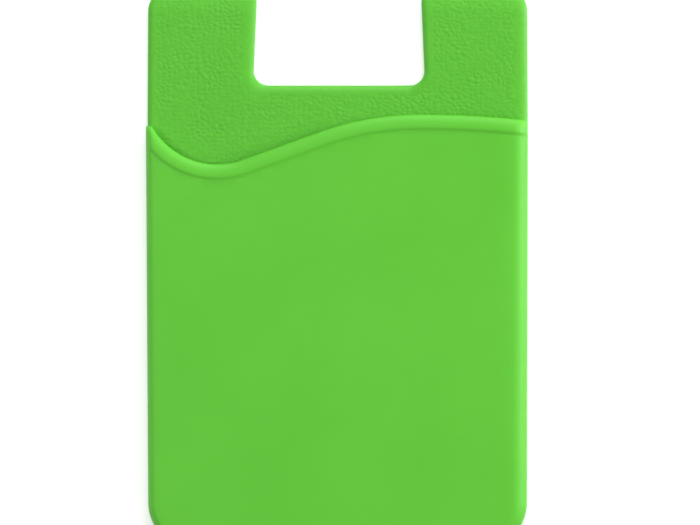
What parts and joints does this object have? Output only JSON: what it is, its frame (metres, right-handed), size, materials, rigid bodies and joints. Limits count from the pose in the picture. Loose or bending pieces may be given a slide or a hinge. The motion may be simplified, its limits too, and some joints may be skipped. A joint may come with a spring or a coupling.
{
  "type": "stick on phone card holder",
  "caption": "Slim silicone card pocket with a wavy beaded mouth and a finger notch, stuck to the back of a phone by an adhesive sheet.",
  "frame": {"origin": "middle of the underside on which the holder lies, which is the face of its release liner", "axes": "+X across the holder, +Y from the closed end towards the finger notch, +Z out of the front"},
  "size_m": [0.0572, 0.084, 0.0037],
  "materials": {
    "silicone": "matte",
    "adhesive": "satin",
    "paper": "matte"
  },
  "bodies": {
    "root": {"release_liner": "paper", "adhesive_sheet": "adhesive", "card_pocket": "silicone"}
  },
  "joints": []
}
